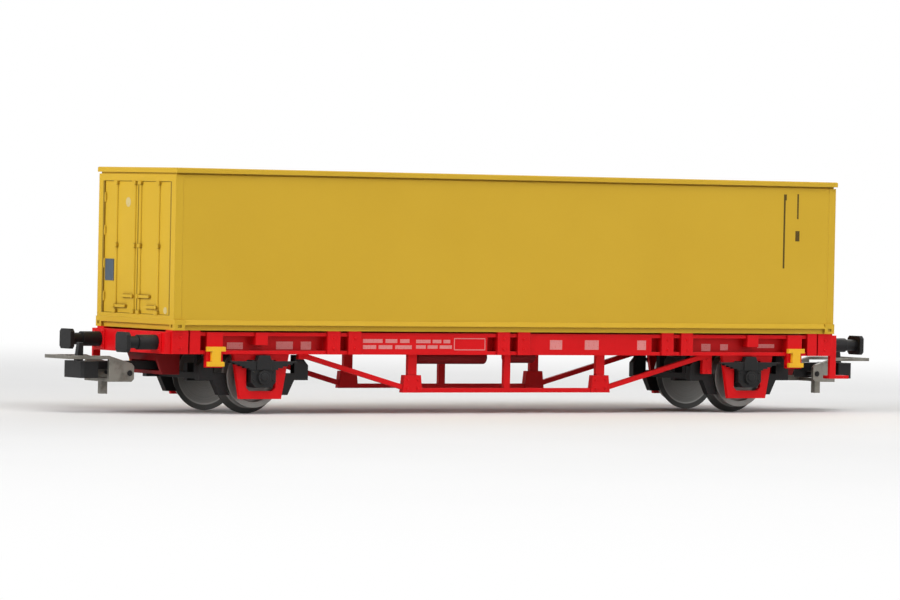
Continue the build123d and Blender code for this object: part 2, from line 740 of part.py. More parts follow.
def container_door(side):
    """A door leaf with lock bars, keepers, handles and hinges in relief."""
    face = DOOR_SET_IN - BOX_END
    leaf_z = (WALL_Z[0] + DOOR_SILL, WALL_Z[1] - DOOR_HEADER)
    edge = WALL_SIDE - POST_W
    pieces = [block((face, face + WALL_T), outward(side, DOOR_GAP / 2, edge), leaf_z)]
    # Columns: place of a bar from the middle, handle's height, way the handle points.
    bars = [(LOCK_BAR_IN, HANDLE_HIGH, 1), (LOCK_BAR_OUT, HANDLE_LOW, -1)]
    keepers = [leaf_z[0], sum(leaf_z) / 2, leaf_z[1] - KEEPER_H]
    for place, height, way in bars:
        y = side * place
        pieces.append(lock_bar(face, y, leaf_z))
        for z in keepers:
            pieces.append(block((face - KEEPER_T, face), around(y, KEEPER_W), (z, z + KEEPER_H)))
        handle_z = (DECK_Z + height, DECK_Z + height + HANDLE_H)
        pieces.append(block((face - HANDLE_T, face), outward(side, place, place + way * HANDLE_L), handle_z))
    pitch = (leaf_z[1] - leaf_z[0]) / HINGE_COUNT
    for index in range(HINGE_COUNT):
        hinge_z = around(leaf_z[0] + (index + 0.5) * pitch, HINGE_H)
        pieces.append(block((face - HINGE_T, face), outward(side, edge - HINGE_W, edge), hinge_z))
    return joined(pieces)


def container_roof():
    """The roof lid, standing out a little over a groove below its rim."""
    neck_x = around(0, 2 * (BOX_END - ROOF_GROOVE_IN))
    neck_y = around(0, 2 * (WALL_SIDE - ROOF_GROOVE_IN))
    lid = block(around(0, 2 * (BOX_END + ROOF_LIP)), around(0, 2 * (BOX_SIDE + ROOF_LIP)),
                (BOX_TOP - ROOF_H, BOX_TOP))
    lid = chamfer(lid.faces().sort_by(Axis.Z)[-1].edges(), ROOF_EDGE)
    return block(neck_x, neck_y, (WALL_Z[1], BOX_TOP - ROOF_H)) + lid


for turn in SIDES:
    placed = Rot(0, 0, turn.degrees)
    save(f"sole_bar_{turn.name}", placed * sole_bar())
    save(f"truss_{turn.name}", placed * truss())

for turn in ENDS:
    placed = Rot(0, 0, turn.degrees)
    save(f"headstock_{turn.name}", placed * headstock())
    save(f"end_step_{turn.name}", placed * end_step())
    save(f"coupler_pocket_{turn.name}", placed * coupler_pocket())
    save(f"pocket_cover_{turn.name}", placed * pocket_block((POCKET_Z - POCKET_COVER_T, POCKET_Z), 0))
    save(f"coupler_{turn.name}", placed * coupler())
    save(f"coupler_loop_{turn.name}", placed * coupler_loop())
    wheelset_x = AXLE_X if turn.degrees == 0 else -AXLE_X
    save(f"axle_{turn.name}", axle(wheelset_x))
    save(f"wheel_{turn.name}_left", wheel(wheelset_x, -1))
    save(f"wheel_{turn.name}_right", wheel(wheelset_x, 1))
    save(f"brake_gear_{turn.name}", brake_gear(wheelset_x))

for corner in CORNERS:
    save(f"axle_guard_{corner.name}", axle_guard(corner))
    save(f"axle_box_{corner.name}", axle_box(corner))
    save(f"buffer_{corner.name}", buffer(corner))
    save(f"rope_hook_{corner.name}", rope_hook(corner))

save("centre_sill", block((-SILL_END, SILL_END), around(0, SPINE_W), (SILL_BOTTOM, SILL_TOP)))
save("cross_bearers", *cross_bearers())
save("brake_cylinder", vessel((-CYLINDER_TO_MIDDLE - CYLINDER_L, -CYLINDER_TO_MIDDLE), CYLINDER_D))
save("air_reservoir", vessel((RESERVOIR_TO_MIDDLE, RESERVOIR_TO_MIDDLE + RESERVOIR_L), RESERVOIR_D))
save("container_spigots", *[
    block(around(corner.end * SPIGOT_X, SPIGOT), around(corner.side * SPIGOT_Y, SPIGOT),
          (DECK_Z, DECK_Z + SPIGOT_H)) for corner in CORNERS])

save("container_base", container_base())
save("container_side_left", container_side(-1))
save("container_side_right", container_side(1))
save("container_end_wall", container_end_wall())
save("container_door_frame", container_door_frame())
save("container_door_left", container_door(-1))
save("container_door_right", container_door(1))
save("container_roof", container_roof())
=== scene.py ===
"""Looks of a small-scale model flat wagon that carries one box container.

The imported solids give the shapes. This script dresses them in moulded, turned and printed
finishes, adds the fittings that are too fine for the solids, and sets up the studio.
Sizes are in millimetres and become metres when a piece is placed.
"""

import logging
import math
from dataclasses import dataclass
from enum import Enum
from functools import lru_cache
from typing import Dict, Iterable, List, Sequence, Tuple

import bpy
from mathutils import Matrix, Vector


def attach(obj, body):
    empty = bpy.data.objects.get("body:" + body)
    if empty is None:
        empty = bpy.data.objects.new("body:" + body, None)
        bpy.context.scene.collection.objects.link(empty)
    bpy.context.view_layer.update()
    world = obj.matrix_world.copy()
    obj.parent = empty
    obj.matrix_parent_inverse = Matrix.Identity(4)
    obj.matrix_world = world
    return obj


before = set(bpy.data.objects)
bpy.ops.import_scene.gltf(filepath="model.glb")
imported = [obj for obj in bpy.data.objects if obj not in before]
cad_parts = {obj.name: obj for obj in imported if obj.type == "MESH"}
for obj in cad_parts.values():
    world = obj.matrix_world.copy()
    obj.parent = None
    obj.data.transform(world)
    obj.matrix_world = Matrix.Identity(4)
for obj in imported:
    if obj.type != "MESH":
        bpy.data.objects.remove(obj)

LOG = logging.getLogger("wagon")
MM = 0.001
AXLE_X = 51.7
AXLE_Z = 6.5
Piece = bpy.types.Object
Material = bpy.types.Material
NodeTree = bpy.types.NodeTree
Node = bpy.types.Node
Socket = bpy.types.NodeSocket
Colour = Tuple[float, float, float]
Point = Tuple[float, float, float]
# Where a range starts and stops.
Span = Tuple[float, float]
# A noise's features in a metre, its finer layers, and the range that becomes 0 to 1.
Speckle = Tuple[float, float, float, float]
# Strength of a fine relief, and its depth in metres.
Relief = Tuple[float, float]
# Width of a plate's rim, and how far the plate's middle lies below it.
Rim = Tuple[float, float]
# Radius, height and number of sides of a bolt, rivet or pin head.
Head = Tuple[float, float, int]
# First and last place along a face, bottom and top.
Box = Tuple[float, float, float, float]


class Facing(Enum):
    """The way a flat fitting looks, as a normal and the direction that is up on it."""

    LEFT = ((0.0, -1.0, 0.0), (0.0, 0.0, 1.0))
    RIGHT = ((0.0, 1.0, 0.0), (0.0, 0.0, 1.0))
    FRONT = ((-1.0, 0.0, 0.0), (0.0, 0.0, 1.0))
    REAR = ((1.0, 0.0, 0.0), (0.0, 0.0, 1.0))
    TOP = ((0.0, 0.0, 1.0), (0.0, 1.0, 0.0))

    def matrix(self, at: Point) -> Matrix:
        """Give the placing of a piece that was modelled lying on the XY plane.

        Args:
            at: The place of the piece's middle, in millimetres.

        Returns:
            A matrix in metres.
        """
        normal = Vector(self.value[0])
        up = Vector(self.value[1])
        across = up.cross(normal)
        turn = Matrix((across, up, normal)).transposed().to_4x4()
        return Matrix.Translation(Vector(at) * MM) @ turn


class Body(Enum):
    """The moving bodies that pieces ride on."""

    FRAME = "frame"
    CONTAINER = "container"
    COUPLER_FRONT = "coupler_front"
    COUPLER_REAR = "coupler_rear"


class Slot(Enum):
    """Names of the record's material slots; the added pieces are not given them."""

    CONTAINER = "container_paint"
    FRAME = "frame_paint"
    BLACK = "black_plastic"
    LOOP = "grey_metal"


@dataclass
class NodeSheet:
    """A node tree that is being filled in."""

    tree: NodeTree
    # Where a colour mix has its factor and two colours, and its result, among its sockets.
    MIX_INPUTS = (0, 6, 7)
    MIX_OUTPUT = 2

    def add(self, kind: str, **settings: object) -> Node:
        """Add a node.

        Args:
            kind: Blender's name of the node type.
            **settings: Properties to set on the node.

        Returns:
            The new node.
        """
        node = self.tree.nodes.new(kind)
        for name, value in settings.items():
            setattr(node, name, value)
        return node

    def join(self, source: Socket, target: Socket) -> None:
        """Link an output to an input."""
        self.tree.links.new(source, target)

    def put(self, target: Socket, value: object) -> None:
        """Feed an input from another node's output, or set it to a plain value."""
        if isinstance(value, Socket):
            self.join(value, target)
        else:
            target.default_value = value

    def math(self, operation: str, first: object, second: object = 0.0,
             third: object = 0.0) -> Socket:
        """Add a Math node.

        Args:
            operation: The node's operation.
            first: First value or socket.
            second: Second value or socket.
            third: Third value or socket, for a multiply-add.

        Returns:
            The node's output.
        """
        node = self.add("ShaderNodeMath", operation=operation)
        for target, value in zip(node.inputs, (first, second, third)):
            self.put(target, value)
        return node.outputs[0]

    def ramp(self, value: object, low: float, high: float) -> Socket:
        """Turn a range of values into 0 to 1, smoothly.

        Args:
            value: The value or socket to read.
            low: What becomes 0.
            high: What becomes 1.

        Returns:
            The clamped output.
        """
        node = self.add("ShaderNodeMapRange", interpolation_type="SMOOTHSTEP")
        self.put(node.inputs["Value"], value)
        node.inputs["From Min"].default_value = low
        node.inputs["From Max"].default_value = high
        return node.outputs[0]

    def noise(self, vector: object, scale: object, detail: float) -> Socket:
        """Add a noise texture.

        Args:
            vector: The coordinates to read.
            scale: How many features there are in a metre.
            detail: How many finer layers it has.

        Returns:
            The noise's value.
        """
        node = self.add("ShaderNodeTexNoise")
        self.put(node.inputs["Vector"], vector)
        self.put(node.inputs["Scale"], scale)
        node.inputs["Detail"].default_value = detail
        return node.outputs[0]

    def speckle(self, vector: object, pattern: Speckle) -> Socket:
        """Add a noise texture and spread its range over 0 to 1.

        Args:
            vector: The coordinates to read.
            pattern: The noise and its range.

        Returns:
            The clamped output.
        """
        scale, detail, low, high = pattern
        return self.ramp(self.noise(vector, scale, detail), low, high)

    def mix(self, factor: object, first: object, second: object) -> Socket:
        """Mix two colours.

        Args:
            factor: How much of the second colour there is.
            first: First colour or socket.
            second: Second colour or socket.

        Returns:
            The mixed colour.
        """
        node = self.add("ShaderNodeMix", data_type="RGBA", clamp_factor=True)
        for index, value in zip(self.MIX_INPUTS, (factor, first, second)):
            self.put(node.inputs[index], (*value, 1.0) if isinstance(value, tuple) else value)
        return node.outputs[self.MIX_OUTPUT]


class SharedEffects:
    """Node groups that several finishes use, each built once."""

    BROAD_SCALE = 55.0
    GRAIN_DETAIL = 3.0
    GRAIN_SHARE = 0.35
    TONE_RANGE = (0.36, 0.64)
    ROUGHNESS_SPREAD = 0.24
    EDGE_SAMPLES = 6
    EDGE_RANGE = (0.01, 0.22)
    UPWARD_RANGE = (0.3, 0.95)
    DUST = (420.0, 5.0, 0.42, 0.72)
    # Samples and range of the painted shade in a piece's own corners.
    CORNER_SAMPLES = 8
    CORNER_RANGE = (0.12, 0.58)

    @staticmethod
    def _blank(
        name: str, inputs: Dict[str, str], outputs: Dict[str, str]
    ) -> Tuple[NodeSheet, Node, Node]:
        """Start a node group with named sockets.

        Args:
            name: The group's name.
            inputs: Socket types of the inputs by name.
            outputs: Socket types of the outputs by name.

        Returns:
            The group's sheet, and the nodes where values enter and leave.
        """
        tree = bpy.data.node_groups.new(name, "ShaderNodeTree")
        for label, kind in inputs.items():
            tree.interface.new_socket(label, in_out="INPUT", socket_type=kind)
        for label, kind in outputs.items():
            tree.interface.new_socket(label, in_out="OUTPUT", socket_type=kind)
        sheet = NodeSheet(tree)
        return sheet, sheet.add("NodeGroupInput"), sheet.add("NodeGroupOutput")

    @classmethod
    @lru_cache(maxsize=None)
    def moulded_surface(cls) -> NodeTree:
        """Fine moulding grain with broad, faint changes of tone.

        Returns:
            The node group.
        """
        sheet, enter, leave = cls._blank(
            "moulded_surface",
            {"Vector": "NodeSocketVector", "Colour": "NodeSocketColor", "Deep Colour": "NodeSocketColor",
             "Grain": "NodeSocketFloat", "Roughness": "NodeSocketFloat"},
            {"Colour": "NodeSocketColor", "Roughness": "NodeSocketFloat", "Height": "NodeSocketFloat"},
        )
        vector = enter.outputs["Vector"]
        broad = sheet.noise(vector, cls.BROAD_SCALE, cls.GRAIN_DETAIL)
        fine = sheet.noise(vector, enter.outputs["Grain"], cls.GRAIN_DETAIL)
        broad_part = sheet.math("MULTIPLY", broad, 1.0 - cls.GRAIN_SHARE)
        tone = sheet.math("MULTIPLY_ADD", fine, cls.GRAIN_SHARE, broad_part)
        shade = sheet.ramp(tone, *cls.TONE_RANGE)
        colour = sheet.mix(shade, enter.outputs["Colour"], enter.outputs["Deep Colour"])
        sheet.join(colour, leave.inputs["Colour"])
        spread = sheet.math("MULTIPLY_ADD", tone, cls.ROUGHNESS_SPREAD, -cls.ROUGHNESS_SPREAD / 2)
        sheet.join(sheet.math("ADD", spread, enter.outputs["Roughness"]), leave.inputs["Roughness"])
        sheet.join(fine, leave.inputs["Height"])
        return sheet.tree

    @classmethod
    @lru_cache(maxsize=None)
    def soft_edges(cls) -> NodeTree:
        """Rounded-looking edges, and a mask of where the edges are.

        Returns:
            The node group.
        """
        sheet, enter, leave = cls._blank(
            "soft_edges", {"Radius": "NodeSocketFloat"},
            {"Normal": "NodeSocketVector", "Edge": "NodeSocketFloat"},
        )
        rounded = sheet.add("ShaderNodeBevel", samples=cls.EDGE_SAMPLES)
        sheet.join(enter.outputs["Radius"], rounded.inputs["Radius"])
        plain = sheet.add("ShaderNodeNewGeometry")
        dot = sheet.add("ShaderNodeVectorMath", operation="DOT_PRODUCT")
        sheet.join(rounded.outputs[0], dot.inputs[0])
        sheet.join(plain.outputs["Normal"], dot.inputs[1])
        sheet.join(rounded.outputs[0], leave.inputs["Normal"])
        turned = sheet.math("SUBTRACT", 1.0, dot.outputs["Value"])
        sheet.join(sheet.ramp(turned, *cls.EDGE_RANGE), leave.inputs["Edge"])
        return sheet.tree

    @classmethod
    @lru_cache(maxsize=None)
    def dust_and_corner_shade(cls) -> NodeTree:
        """Masks of dust on upward faces and of painted shade in a piece's own corners and recesses.

        Returns:
            The node group.
        """
        sheet, enter, leave = cls._blank(
            "dust_and_corner_shade",
            {"Vector": "NodeSocketVector", "Amount": "NodeSocketFloat", "Reach": "NodeSocketFloat"},
            {"Dust": "NodeSocketFloat", "Corner": "NodeSocketFloat"},
        )
        normal = sheet.add("ShaderNodeNewGeometry")
        split = sheet.add("ShaderNodeSeparateXYZ")
        sheet.join(normal.outputs["Normal"], split.inputs[0])
        upward = sheet.ramp(split.outputs["Z"], *cls.UPWARD_RANGE)
        lying = sheet.math("MULTIPLY", upward, sheet.speckle(enter.outputs["Vector"], cls.DUST))
        sheet.join(sheet.math("MULTIPLY", lying, enter.outputs["Amount"]), leave.inputs["Dust"])
        # Painted shade: occlusion within the piece itself marks its corners and recesses.
        corner = sheet.add("ShaderNodeAmbientOcclusion", only_local=True, samples=cls.CORNER_SAMPLES)
        sheet.join(enter.outputs["Reach"], corner.inputs["Distance"])
        shade = sheet.math("SUBTRACT", 1.0, corner.outputs["AO"])
        sheet.join(sheet.ramp(shade, *cls.CORNER_RANGE), leave.inputs["Corner"])
        return sheet.tree


def start_material(name: str) -> Tuple[Material, NodeSheet, Node, Socket]:
    """Start a material with a Principled shader and the piece's own coordinates.

    Args:
        name: The material's name.

    Returns:
        The material, its sheet, its shader and the coordinates' output.
    """
    material = bpy.data.materials.new(name)
    material.use_nodes = True
    sheet = NodeSheet(material.node_tree)
    shader = sheet.tree.nodes["Principled BSDF"]
    place = sheet.add("ShaderNodeTexCoord")
    return material, sheet, shader, place.outputs["Object"]


def use_group(sheet: NodeSheet, tree: NodeTree, **values: object) -> Node:
    """Place a shared effect in a material.

    Args:
        sheet: The material's sheet.
        tree: The node group.
        **values: Values or sockets for its inputs, with _ for a space.

    Returns:
        The group node.
    """
    node = sheet.add("ShaderNodeGroup")
    node.node_tree = tree
    for label, value in values.items():
        target = node.inputs[label.replace("_", " ")]
        sheet.put(target, (*value, 1.0) if isinstance(value, tuple) else value)
    return node


def add_relief(sheet: NodeSheet, shader: Node, height: Socket,
               normal: Socket, relief: Relief) -> None:
    """Lay a fine relief over the softened edges of a finish.

    Args:
        sheet: The material's sheet.
        shader: The material's shader.
        height: The relief's heights.
        normal: The normal that the relief starts from.
        relief: Its strength and depth.
    """
    bump = sheet.add("ShaderNodeBump")
    for label, value in zip(("Strength", "Distance", "Height", "Normal"), (*relief, height, normal)):
        sheet.put(bump.inputs[label], value)
    sheet.join(bump.outputs[0], shader.inputs["Normal"])


@dataclass(frozen=True)
class MouldedPlastic:
    """A moulded plastic with grain, softened edges with a painted highlight, painted shade in its corners
    and a little dust.
    """

    name: str
    colour: Colour
    deep_colour: Colour
    # Lighter colour of a painted highlight along the edges.
    edge_colour: Colour
    # Darker colour of painted shade in the piece's own corners and recesses.
    corner_shade_colour: Colour
    roughness: float = 0.45
    grain: float = 5200.0
    relief: Relief = (0.06, 0.0001)
    edge_highlight_amount: float = 0.5
    # How strongly and how far the painted corner shade reaches.
    corner_shade_amount: float = 0.5
    corner_shade_reach: float = 0.0014
    dust_amount: float = 0.12
    dust_roughness: float = 0.5
    dust_colour: Colour = (0.42, 0.38, 0.32)
    edge_radius: float = 0.00012
    specular: float = 0.2

    def make(self) -> Material:
        """Build the material.

        Returns:
            The new material.
        """
        material, sheet, shader, place = start_material(self.name)
        surface = use_group(
            sheet, SharedEffects.moulded_surface(), Vector=place, Colour=self.colour,
            Deep_Colour=self.deep_colour, Grain=self.grain, Roughness=self.roughness,
        )
        edges = use_group(sheet, SharedEffects.soft_edges(), Radius=self.edge_radius)
        dust_and_shade = use_group(
            sheet, SharedEffects.dust_and_corner_shade(), Vector=place, Amount=self.dust_amount,
            Reach=self.corner_shade_reach,
        )
        edge = sheet.math("MULTIPLY", edges.outputs["Edge"], self.edge_highlight_amount)
        corner = sheet.math("MULTIPLY", dust_and_shade.outputs["Corner"], self.corner_shade_amount)
        # Painted highlight along the edges.
        colour = sheet.mix(edge, surface.outputs["Colour"], self.edge_colour)
        # Painted shade in the corners and recesses.
        colour = sheet.mix(corner, colour, self.corner_shade_colour)
        colour = sheet.mix(dust_and_shade.outputs["Dust"], colour, self.dust_colour)
        sheet.join(colour, shader.inputs["Base Color"])
        rough = sheet.math(
            "MULTIPLY_ADD", dust_and_shade.outputs["Dust"], self.dust_roughness, surface.outputs["Roughness"]
        )
        sheet.join(rough, shader.inputs["Roughness"])
        shader.inputs["Specular IOR Level"].default_value = self.specular
        add_relief(sheet, shader, surface.outputs["Height"], edges.outputs["Normal"], self.relief)
        return material


@dataclass(frozen=True)
class TurnedMetal:
    """Grey turned metal with a bright tread and a dark flange edge, ringed about one axle."""

    name: str
    axle_at: Point
    web_colour: Colour = (0.245, 0.245, 0.232)
    tread_colour: Colour = (0.32, 0.315, 0.30)
    edge_colour: Colour = (0.065, 0.065, 0.062)
    tread_radius: float = 5.4
    # Where the tread and the flange's dark edge fade in, measured past the tread's radius.
    tread_steps: Span = (-0.12, -0.04)
    edge_steps: Span = (0.05, 0.25)
    ring_scale: float = 9000.0
    ring_detail: float = 3.0
    ring_range: Span = (0.35, 0.7)
    ring_shade: float = 0.8
    specks: Speckle = (1400.0, 4.0, 0.25, 0.6)
    speck_share: float = 0.3
    metallic: float = 0.4
    tread_metallic: float = 0.35
    roughness: float = 0.28
    ring_roughness: float = 0.3
    edge_radius: float = 0.00015
    relief: Relief = (0.12, 0.00005)

    def make(self) -> Material:
        """Build the material.

        Returns:
            The new material.
        """
        material, sheet, shader, place = start_material(self.name)
        away = sheet.add("ShaderNodeVectorMath", operation="SUBTRACT")
        sheet.join(place, away.inputs[0])
        away.inputs[1].default_value = Vector(self.axle_at) * MM
        flat = sheet.add("ShaderNodeVectorMath", operation="MULTIPLY")
        sheet.join(away.outputs[0], flat.inputs[0])
        flat.inputs[1].default_value = (1.0, 0.0, 1.0)
        length = sheet.add("ShaderNodeVectorMath", operation="LENGTH")
        sheet.join(flat.outputs[0], length.inputs[0])
        radius = length.outputs["Value"]
        rings = sheet.add("ShaderNodeTexNoise", noise_dimensions="1D")
        sheet.join(radius, rings.inputs["W"])
        rings.inputs["Scale"].default_value = self.ring_scale
        rings.inputs["Detail"].default_value = self.ring_detail
        ring = rings.outputs[0]
        specks = sheet.speckle(place, self.specks)
        tread, edge = (
            sheet.ramp(radius, *((self.tread_radius + step) * MM for step in steps))
            for steps in (self.tread_steps, self.edge_steps)
        )
        wear = sheet.math("MULTIPLY_ADD", specks, self.speck_share, 1.0 - self.speck_share)
        worn = sheet.math("MULTIPLY", tread, wear)
        dark = tuple(self.ring_shade * part for part in self.web_colour)
        web = sheet.mix(sheet.ramp(ring, *self.ring_range), self.web_colour, dark)
        face = sheet.mix(worn, web, self.tread_colour)
        sheet.join(sheet.mix(edge, face, self.edge_colour), shader.inputs["Base Color"])
        metallic = sheet.math("MULTIPLY_ADD", tread, self.tread_metallic, self.metallic)
        sheet.join(metallic, shader.inputs["Metallic"])
        rough = sheet.math("MULTIPLY_ADD", ring, self.ring_roughness, self.roughness)
        sheet.join(rough, shader.inputs["Roughness"])
        edges = use_group(sheet, SharedEffects.soft_edges(), Radius=self.edge_radius)
        add_relief(sheet, shader, ring, edges.outputs["Normal"], self.relief)
        return material


@dataclass(frozen=True)
class BentSheetMetal:
    """Dull rolled metal with fine lines along it and bright worn edges."""

    name: str
    colour: Colour = (0.20, 0.19, 0.165)
    worn_colour: Colour = (0.42, 0.40, 0.36)
    stain_colour: Colour = (0.09, 0.082, 0.07)
    line_stretch: Point = (0.06, 1.0, 1.0)
    line_scale: float = 9000.0
    line_detail: float = 3.0
    stains: Speckle = (500.0, 4.0, 0.45, 0.75)
    stain_amount: float = 0.7
    worn_amount: float = 0.7
    metallic: float = 0.75
    roughness: float = 0.3
    line_roughness: float = 0.25
    stain_roughness: float = 0.15
    edge_radius: float = 0.0001
    relief: Relief = (0.1, 0.00004)

    def make(self) -> Material:
        """Build the material.

        Returns:
            The new material.
        """
        material, sheet, shader, place = start_material(self.name)
        stretch = sheet.add("ShaderNodeMapping")
        sheet.join(place, stretch.inputs["Vector"])
        stretch.inputs["Scale"].default_value = self.line_stretch
        lines = sheet.noise(stretch.outputs[0], self.line_scale, self.line_detail)
        stains = sheet.speckle(place, self.stains)
        edges = use_group(sheet, SharedEffects.soft_edges(), Radius=self.edge_radius)
        stained = sheet.math("MULTIPLY", stains, self.stain_amount)
        worn = sheet.math("MULTIPLY", edges.outputs["Edge"], self.worn_amount)
        colour = sheet.mix(stained, self.colour, self.stain_colour)
        sheet.join(sheet.mix(worn, colour, self.worn_colour), shader.inputs["Base Color"])
        shader.inputs["Metallic"].default_value = self.metallic
        rough = sheet.math("MULTIPLY_ADD", lines, self.line_roughness, self.roughness)
        rough = sheet.math("MULTIPLY_ADD", stains, self.stain_roughness, rough)
        sheet.join(rough, shader.inputs["Roughness"])
        add_relief(sheet, shader, lines, edges.outputs["Normal"], self.relief)
        return material


@dataclass(frozen=True)
class PrintedInk:
    """A thin printed film whose cover varies a little."""

    name: str
    colour: Colour
    thin_colour: Colour
    roughness: float = 0.5
    specular: float = 0.15
    cover: Speckle = (3600.0, 3.0, 0.5, 0.78)
    thin_roughness: float = 0.15

    def make(self) -> Material:
        """Build the material.

        Returns:
            The new material.
        """
        material, sheet, shader, place = start_material(self.name)
        cover = sheet.speckle(place, self.cover)
        sheet.join(sheet.mix(cover, self.colour, self.thin_colour), shader.inputs["Base Color"])
        rough = sheet.math("MULTIPLY_ADD", cover, self.thin_roughness, self.roughness)
        sheet.join(rough, shader.inputs["Roughness"])
        shader.inputs["Specular IOR Level"].default_value = self.specular
        return material


class Finishes:
    """Every material of the wagon, made once."""

    def __init__(self) -> None:
        """Build all materials."""
        # Each moulded finish gives its colour, its deep tone, a lighter edge colour that paints a highlight
        # and a darker corner colour that paints shade.
        self.container = MouldedPlastic(
            "container_yellow", (0.645, 0.408, 0.032), (0.625, 0.391, 0.030), (0.74, 0.50, 0.07),
            (0.20, 0.100, 0.006), roughness=0.48, corner_shade_amount=0.7, dust_amount=0.06, specular=0.12,
        ).make()
        self.frame = MouldedPlastic(
            "frame_red", (0.74, 0.004, 0.008), (0.68, 0.003, 0.006), (0.84, 0.035, 0.035),
            (0.42, 0.002, 0.004), roughness=0.46, corner_shade_amount=0.85, corner_shade_reach=0.0034, dust_amount=0.08,
            specular=0.14,
        ).make()
        # Darker copy of the frame red for the parts beneath the deck: painted shade.
        self.shaded_under = MouldedPlastic(
            "under_red_painted_shade", (0.22, 0.004, 0.006), (0.17, 0.003, 0.004), (0.34, 0.016, 0.016),
            (0.05, 0.000, 0.001), roughness=0.55, corner_shade_amount=0.75, dust_amount=0.1,
        ).make()
        self.black = MouldedPlastic(
            "black_moulding", (0.014, 0.014, 0.015), (0.009, 0.009, 0.009), (0.055, 0.055, 0.058),
            (0.004, 0.004, 0.004), roughness=0.5, edge_highlight_amount=0.6, dust_amount=0.1,
        ).make()
        self.hook = MouldedPlastic(
            "hook_yellow", (0.92, 0.52, 0.022), (0.86, 0.46, 0.018), (1.0, 0.72, 0.15),
            (0.35, 0.15, 0.004), roughness=0.4, dust_amount=0.08,
        ).make()
        # Darkened container yellow of the door seals, which paints the shade of the gaps around the door
        # leaves.
        self.seal_gap_shade = MouldedPlastic(
            "door_seal_gap_shade", (0.30, 0.185, 0.018), (0.25, 0.15, 0.014), (0.40, 0.27, 0.04),
            (0.10, 0.055, 0.004), roughness=0.65, dust_amount=0.05,
        ).make()
        self.loop = BentSheetMetal("loop_metal").make()
        self.wheel_front = TurnedMetal("wheel_metal_front", (-AXLE_X, 0.0, AXLE_Z)).make()
        self.wheel_rear = TurnedMetal("wheel_metal_rear", (AXLE_X, 0.0, AXLE_Z)).make()
        self.pale_print = PrintedInk("pale_print", (0.76, 0.27, 0.265), (0.72, 0.13, 0.13)).make()
        self.dark_print = PrintedInk("dark_print", (0.095, 0.060, 0.010), (0.17, 0.105, 0.014)).make()
        self.blue_plate = PrintedInk(
            "blue_plate", (0.075, 0.10, 0.13), (0.10, 0.13, 0.155), roughness=0.45
        ).make()
        self.sticker = PrintedInk("pale_sticker", (0.62, 0.50, 0.22), (0.60, 0.44, 0.13)).make()

    def for_node(self, node: str) -> Material:
        """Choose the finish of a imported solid.

        Args:
            node: The solid's name.

        Returns:
            Its material.
        """
        # The sill, bearers, pocket, cover, tanks and cylinder take the darker red of painted shade.
        starts = {
            "container_spigots": self.frame, "container": self.container, "rope_hook": self.hook,
            "wheel_front": self.wheel_front, "axle_front": self.wheel_front,
            "wheel_rear": self.wheel_rear, "axle_rear": self.wheel_rear,
            "axle_box": self.black, "brake_gear": self.black, "buffer": self.black,
            "coupler_loop": self.loop, "coupler_pocket": self.shaded_under, "coupler": self.black,
            "pocket_cover": self.shaded_under, "brake_cylinder": self.shaded_under, "air_reservoir": self.shaded_under,
            "centre_sill": self.shaded_under, "cross_bearers": self.shaded_under,
        }
        for start, material in starts.items():
            if node.startswith(start):
                return material
        return self.frame


